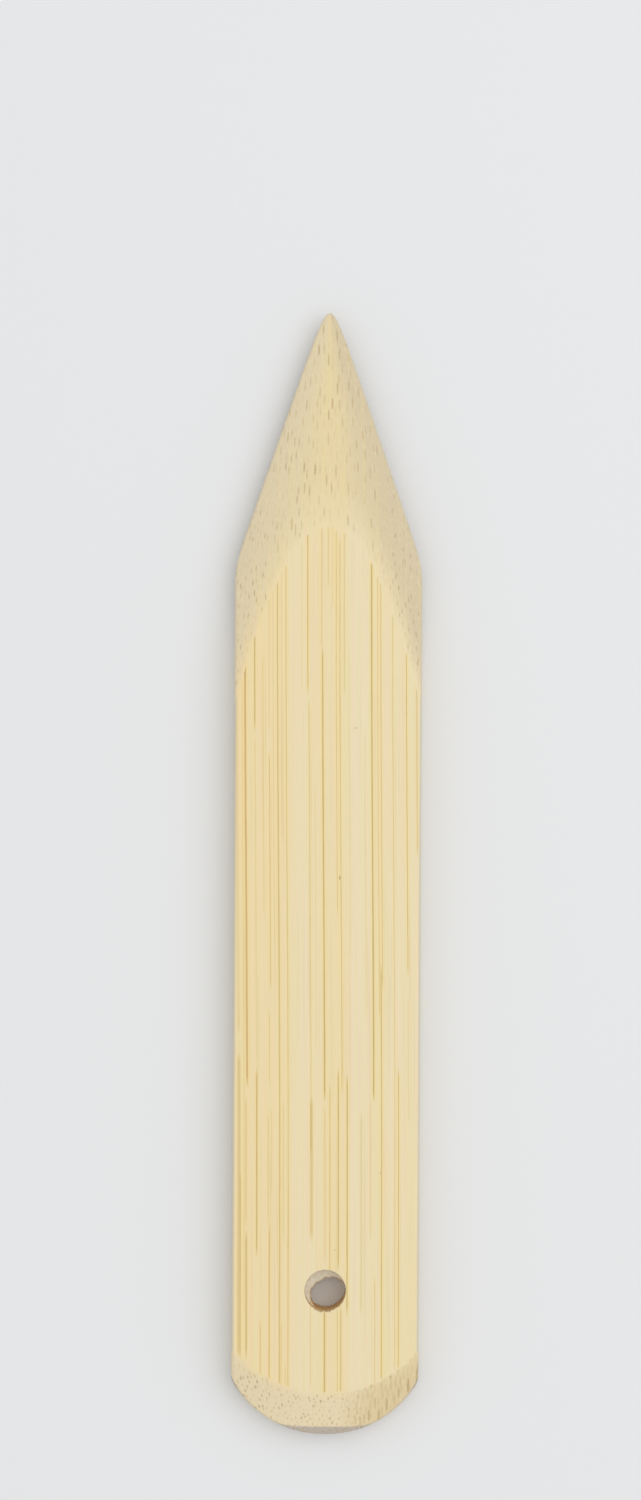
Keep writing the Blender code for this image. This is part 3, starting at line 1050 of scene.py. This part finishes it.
def fibre_marks(finish, spot):
    """The strong fibre lines of a flat face, the ruddy share of them, and the glow each has on both sides."""
    ragged = spot.grain + finish.swing(LINE_WOBBLE, spot.grain, spot.y)
    dark, ruddy, glow = 0, 0, 0
    for line in FIBRE_LINES:
        middle, reach = (line.top + line.bottom) / 2, (line.top - line.bottom) / 2
        off = abs(ragged - line.place)
        run = ((reach - abs(spot.y - middle)) / LINE_FADE).clamped() * line.darkness
        core = (off / line.half_width).rise(*LINE_CORE_SHARES) * run
        dark = dark + core
        ruddy = ruddy + core * line.ruddiness
        glow = glow + (off / (line.half_width + GLOW_WIDENING)).rise(*LINE_GLOW_SHARES) * run
    return dark.clamped(), (ruddy / (dark + LEAST_DARKNESS)).clamped(), glow.clamped()


def small_marks(spot):
    """The few spots and smudges of the front face."""
    found = 0
    for mark in MARKS:
        off_across = (spot.x - mark.across) / mark.half_across
        off_along = (spot.y - mark.along) / mark.half_along
        off = (off_across * off_across + off_along * off_along).math("SQRT")
        found = found + off.rise(*MARK_SHARES) * mark.darkness
    return found.clamped() * (1 - spot.is_back) * spot.level


def bundle_ends(finish, spot, up, ends):
    """The spots and dashes where a ground surface cuts through the bundles. They stand in staggered rows
    through the strip, so a shallow slope draws them out into long dashes."""
    row = (up + finish.swing(ROW_WAVES, spot.y, spot.fibre)) / ends.up_pitch
    column = spot.fibre / ends.across_pitch + row * END_STAGGER_SHARE
    values = {"Vector": finish.vector(column, row), "Scale": 1.0, "Randomness": END_STRAYING_SHARE}
    cells = finish.node("ShaderNodeTexVoronoi", {"voronoi_dimensions": "2D"}, values)
    centre = finish.parts(cells.outputs["Position"])
    off_row = row - centre[1]
    off_column = column - centre[0] - off_row * END_STAGGER_SHARE
    across = off_column * (ends.across_pitch / ends.half_across)
    through = off_row * (ends.up_pitch / ends.half_up)
    uneven = finish.swing(END_EDGES, spot.fibre, spot.y)
    distance = (across * across + through * through).math("SQRT") + uneven
    size = finish.parts(cells.outputs["Color"])[0]
    shape = ((size * END_SIZE_SPREAD + LEAST_END_SIZE - distance) * END_SHARPNESS).clamped()
    return shape * (size * size * END_DARKNESS_SPREAD + LEAST_END_DARKNESS) * ends.darkness


def flat_face(finish, spot):
    """The planed flesh without its lines, the same with them, and how dark the strong ones are."""
    across_share = spot.grain.rise(-HALF_WIDTH / MM, HALF_WIDTH / MM)
    warmth = finish.ramp(across_share, WARMTH_SHARES) + (spot.broad - NOISE_MIDDLE) * BROAD_WARMTH_SHARE
    warmth = (warmth + (spot.streaks - NOISE_MIDDLE) * STREAK_WARMTH_SHARE).clamped()
    tint = finish.swing(TINTS, spot.grain, spot.y)
    plain_flesh = finish.blend(warmth, PALE_FLESH, WARM_FLESH)
    plain_flesh = finish.blend(tint.rise(0, FULL_TINT), plain_flesh, ROSY_FLESH)
    plain_flesh = finish.blend(tint.rise(0, -FULL_TINT), plain_flesh, GREEN_FLESH)
    dark, ruddiness, glow = fibre_marks(finish, spot)
    shown = spot.lined * spot.level
    dark = dark * (spot.broad * LINE_SPREAD_SHARE + LEAST_LINE_SHARE) * shown
    threads = finish.clouds(THREADS, spot.grain, spot.y).rise(*THREAD_RANGE) * shown
    flesh = finish.blend(glow * shown * GLOW_SHARE, plain_flesh, LINE_GLOW)
    flesh = finish.blend(threads * THREAD_SHARE, flesh, finish.blend(warmth, OLIVE_LINE, RUDDY_LINE))
    line_colour = finish.blend(ruddiness, OLIVE_LINE, RUDDY_LINE)
    return plain_flesh, finish.blend(dark.clamped() * LINE_SHARE, flesh, line_colour), dark


def ground_tone(finish, spot):
    """The ground faces' colour without the bundle ends, with painted shade towards the flanks and the tip."""
    slope = math.tan(FLANK_ANGLE)
    local_half_width = (spot.from_tip * slope + TIP_RADIUS / MM).least(HALF_WIDTH / MM)
    side_shade = abs(spot.x) / local_half_width * SIDE_SHADE_GAIN - SIDE_SHADE_START
    side_shade = (side_shade + spot.from_tip.rise(*TIP_SHADE_FADE) * TIP_SHADE_SHARE).clamped()
    side_shade = side_shade * spot.by_end(*SIDE_SHADE_SHARES)
    ground = finish.blend(spot.is_point, HEEL_FLESH, GROUND_FLESH)
    painted_side_shade = finish.blend(spot.x.above(0), GROUND_SHADE_LEFT, GROUND_SHADE_RIGHT)
    ground = finish.blend(side_shade, ground, painted_side_shade)
    yellow = spot.streaks.rise(*YELLOW_RANGE) * (1 - side_shade * SIDE_YELLOW_LOSS_SHARE)
    return finish.blend(yellow * spot.by_end(*YELLOW_SHARES), ground, LINE_GLOW)


def ends_in_sight(finish, spot, drawn_out):
    """The bundle ends of both ground faces. On the heel they are drawn out into dashes on the right."""
    side_up = spot.z * SIDE_CUT_RISE_SHARE - spot.y * SIDE_CUT_SLOPE_SHARE
    point_ends = bundle_ends(finish, spot, spot.z, POINT_ENDS)
    point_ends = point_ends * abs(spot.x - POINT_ENDS_MIDDLE).rise(*POINT_ENDS_FADE)
    side_ends = bundle_ends(finish, spot, side_up, SIDE_ENDS)
    point_ends = abs(spot.x).rise(*SIDE_ENDS_FADE).between(point_ends, side_ends)
    heel_ends = bundle_ends(finish, spot, spot.z, HEEL_ENDS)
    heel_ends = drawn_out.between(heel_ends, bundle_ends(finish, spot, spot.z, HEEL_DASHES))
    ends = spot.is_point.between(heel_ends, point_ends)
    return ends * (1 - spot.face * spot.level) * spot.cut


def heel_nose_shade(spot):
    """Painted shade on the heel's nose and on the eased edge beside it, as a grey colour."""
    nose = spot.facing.rise(*NOSE_SHADE_SHARES) * (HEEL_RISE / MM - spot.from_heel).clamped()
    nose = nose * (1 - abs(spot.x).rise(*NOSE_SHADE_PALING_FADE) * NOSE_SHADE_PALING_SHARE)
    across_squared = spot.x * spot.x
    border = across_squared * across_squared * SHADE_STRIP_WIDENING + HEEL_NOSE_DEPTH / MM
    strip = (border - spot.from_heel).rise(*SHADE_STRIP_FADE)
    return nose.most(strip) * spot.facing.rise(*OFF_WALL_SHARES)


def ground_faces(finish, spot, plain_flesh, nose):
    """The colour of everything cut across the bundles, with the side walls, the bundle ends and the nose's
    painted shade.
    """
    drawn_out = spot.x.rise(*DASHES_FADE)
    ends = ends_in_sight(finish, spot, drawn_out)
    flecks = finish.clouds(FLECKS, spot.fibre, spot.y).rise(*FLECK_RANGE)
    ground = ground_tone(finish, spot)
    ground = finish.blend((1 - spot.is_point) * drawn_out * TAN_SHARE, ground, HEEL_TAN)
    ground = finish.blend(spot.near_face * spot.by_end(*BORDER_FLESH_SHARES), ground, plain_flesh)
    ground = finish.blend(flecks * FLECK_SHARE, ground, FLECK_FLESH)
    ground = finish.blend(spot.pith.rise(*PITH_RANGE) * PITH_SHARE, ground, BUNDLE_END)
    ground = finish.blend((ends * END_SHARE).clamped(), ground, BUNDLE_END)
    # Painted shade greys the heel's nose, with the bundle ends still shown on it
    ground = finish.blend(nose, ground, finish.blend(ends, NOSE_SHADE_COLOUR, BUNDLE_END))
    wall_streaks = finish.clouds(WALL_STREAKS, spot.z, spot.y, spot.x).rise(*WALL_RANGE)
    wall = finish.blend(wall_streaks * WALL_SHARE, WALL_FLESH, OLIVE_LINE)
    return finish.blend((1 - spot.level) * (1 - spot.cut), ground, wall), ends


def shade_edges(finish, spot, surface, nose):
    """The surface with painted shade on its eased edges and sloping parts, its fine grain and its small
    marks.
    """
    # Painted shade greys the eased edges and slopes, but not the walls or the heel's nose
    eased = spot.facing.rise(*EASED_SHARES) * (1 - nose)
    edge = finish.blend(spot.facing.rise(*STEEP_SHARES), EDGE_SHADE_COLOUR, surface)
    surface = finish.blend(eased * (spot.face * FACE_EDGE_SHADE_SHARE + EDGE_SHADE_SHARE), surface, edge)
    surface = finish.blend(spot.fine.rise(*FINE_RANGE) * FINE_SHARE, surface, OLIVE_LINE)
    return finish.blend(small_marks(spot), surface, MARK_BROWN)


def finish_hole(finish, spot, surface):
    """The surface with the hole's web and its browner wall, darker at random and, as painted shade, deeper
    down.
    """
    web = finish.blend(spot.pith.rise(*WEB_PITH_RANGE), WEB_FLESH, BUNDLE_END)
    shade = (spot.pith * BORE_PITH_SHARE - BORE_PITH_START + spot.depth * BORE_DEPTH_SHARE).clamped()
    surface = finish.blend(spot.web, surface, web)
    return finish.blend(spot.bore, surface, finish.blend(shade, BORE_WALL, BORE_SHADE))


def bamboo():
    """Planed and ground bamboo without varnish: fibre lines along the flat faces, and the ends of the bundles
    on everything that was cut across them. Painted shade greys the eased edges, the ground faces' flanks,
    the heel's nose and the depths of the hole."""
    finish = Finish("sanded_bamboo")
    spot = Spot(finish)
    nose = heel_nose_shade(spot)
    plain_flesh, flesh, dark = flat_face(finish, spot)
    ground, ends = ground_faces(finish, spot, plain_flesh, nose)
    flat = spot.face * spot.level
    surface = finish.blend(flat, ground, flesh)
    surface = shade_edges(finish, spot, surface, nose)
    surface = finish_hole(finish, spot, surface)

    fine = spot.fine - NOISE_MIDDLE
    roughness = (1 - spot.face) * GROUND_ROUGHNESS + fine * FINE_ROUGHNESS + dark * LINE_ROUGHNESS + ROUGHNESS
    height = fine * FINE_RELIEF + (spot.streaks - NOISE_MIDDLE) * STREAK_RELIEF
    height = height - dark * LINE_RELIEF - ends * END_RELIEF
    height = height + (spot.pith - NOISE_MIDDLE) * (1 - flat) * PITH_RELIEF
    bump = finish.node("ShaderNodeBump", {}, {"Strength": 1.0, "Distance": MM, "Height": height})
    finish.feed(
        finish.shader,
        {"Base Color": surface, "Roughness": roughness, "Normal": bump.outputs[0], "Metallic": 0.0},
    )
    return finish.material


# The studio
WHITE = colour(255, 255, 255)
FLOOR_COLOUR = colour(232, 233, 234)
FLOOR_REACH = 6.0
FLOOR_DROP = 0.02 * MM
FLOOR_ROUGHNESS = 0.9
FILL_LIGHT = 0.785
BACKGROUND_LIGHT = 0.84
KEY_POWER = 1.93
KEY_SIZE = 1.00
KEY_DISTANCE = 0.8
KEY_AZIMUTH = math.radians(25)
KEY_ELEVATION = math.radians(62)


def make_floor():
    """A plain pale floor, a hair below the blade."""
    reach = FLOOR_REACH
    mesh = bpy.data.meshes.new("floor")
    corners = [(-reach, -reach, -FLOOR_DROP), (reach, -reach, -FLOOR_DROP)]
    corners += [(reach, reach, -FLOOR_DROP), (-reach, reach, -FLOOR_DROP)]
    mesh.from_pydata(corners, [], [(0, 1, 2, 3)])
    finish = Finish("pale_floor")
    values = {"Base Color": FLOOR_COLOUR, "Roughness": FLOOR_ROUGHNESS, "Metallic": 0.0}
    finish.feed(finish.shader, values)
    mesh.materials.append(finish.material)
    floor = bpy.data.objects.new("floor", mesh)
    bpy.context.scene.collection.objects.link(floor)


def light_the_scene():
    """A plain world for the fill, and one soft key lamp high on the right."""
    world = bpy.data.worlds.new("studio")
    world.use_nodes = True
    studio = Network(world.node_tree)
    rays = studio.node("ShaderNodeLightPath", {}, {})
    seen = [Signal(studio, rays.outputs[f"Is {kind} Ray"]) for kind in ("Camera", "Glossy", "Transmission")]
    strength = seen[0].most(seen[1]).most(seen[2]) * (BACKGROUND_LIGHT - FILL_LIGHT) + FILL_LIGHT
    studio.feed(studio.tree.nodes["Background"], {"Color": WHITE, "Strength": strength})
    bpy.context.scene.world = world

    lamp = bpy.data.lights.new("key", "AREA")
    lamp.shape = "DISK"
    lamp.size = KEY_SIZE
    lamp.energy = KEY_POWER
    key = bpy.data.objects.new("key", lamp)
    across = math.cos(KEY_ELEVATION)
    direction = Vector(
        (across * math.cos(KEY_AZIMUTH), across * math.sin(KEY_AZIMUTH), math.sin(KEY_ELEVATION))
    )
    key.location = direction * KEY_DISTANCE
    key.rotation_euler = direction.to_track_quat("Z", "Y").to_euler()
    bpy.context.scene.collection.objects.link(key)


# The camera looks straight down on the blade, from above a place beside its middle
IMAGE_HEIGHT = 1500
PIXELS_PER_MM = 7.385
SENSOR = 36.0
CAMERA_DISTANCE = 450 * MM
CAMERA_ACROSS = -1.0 * MM
CAMERA_ALONG = 16.8 * MM
CAMERA_ROLL = math.radians(0.29)
CLIP_SHARE = 0.1


def make_camera():
    """The camera, whose picture is as high as the photograph at its number of pixels to a millimetre."""
    view_height = IMAGE_HEIGHT / PIXELS_PER_MM * MM
    data = bpy.data.cameras.new("camera")
    data.sensor_width = SENSOR
    data.lens = SENSOR * CAMERA_DISTANCE / view_height
    data.clip_start = CAMERA_DISTANCE * CLIP_SHARE
    camera = bpy.data.objects.new("camera", data)
    camera.location = (CAMERA_ACROSS, CAMERA_ALONG, THICKNESS + CAMERA_DISTANCE)
    camera.rotation_euler = (0, 0, CAMERA_ROLL)
    bpy.context.scene.collection.objects.link(camera)
    bpy.context.scene.camera = camera


bpy.context.scene.view_settings.view_transform = "Standard"
blade = make_blade()
blade.data.materials.append(bamboo())
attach(blade, "root")
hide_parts("bamboo_blade")
make_floor()
light_the_scene()
make_camera()
